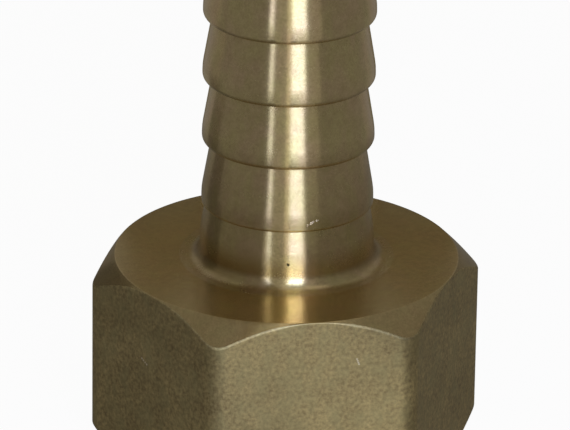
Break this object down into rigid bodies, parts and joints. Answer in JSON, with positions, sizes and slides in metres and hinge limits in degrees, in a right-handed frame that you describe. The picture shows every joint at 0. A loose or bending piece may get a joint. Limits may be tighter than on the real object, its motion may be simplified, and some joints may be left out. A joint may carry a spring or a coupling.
{
  "type": "hose barb tail",
  "caption": "One-piece brass hose tail: a barbed spigot for a push-on hose over a hexagon with a female pipe thread.",
  "frame": {"origin": "centre of the hexagon's bottom face, the threaded end that it stands on", "axes": "+Z along the bore towards the tip of the tail, -Y out of one flat of the hexagon"},
  "size_m": [0.0306, 0.027, 0.0458],
  "materials": {
    "brass": "turned and bright on the tail and the hexagon's ends, dull and mottled on the flats"
  },
  "bodies": {
    "root": {"hose_tail": "brass"}
  },
  "joints": []
}
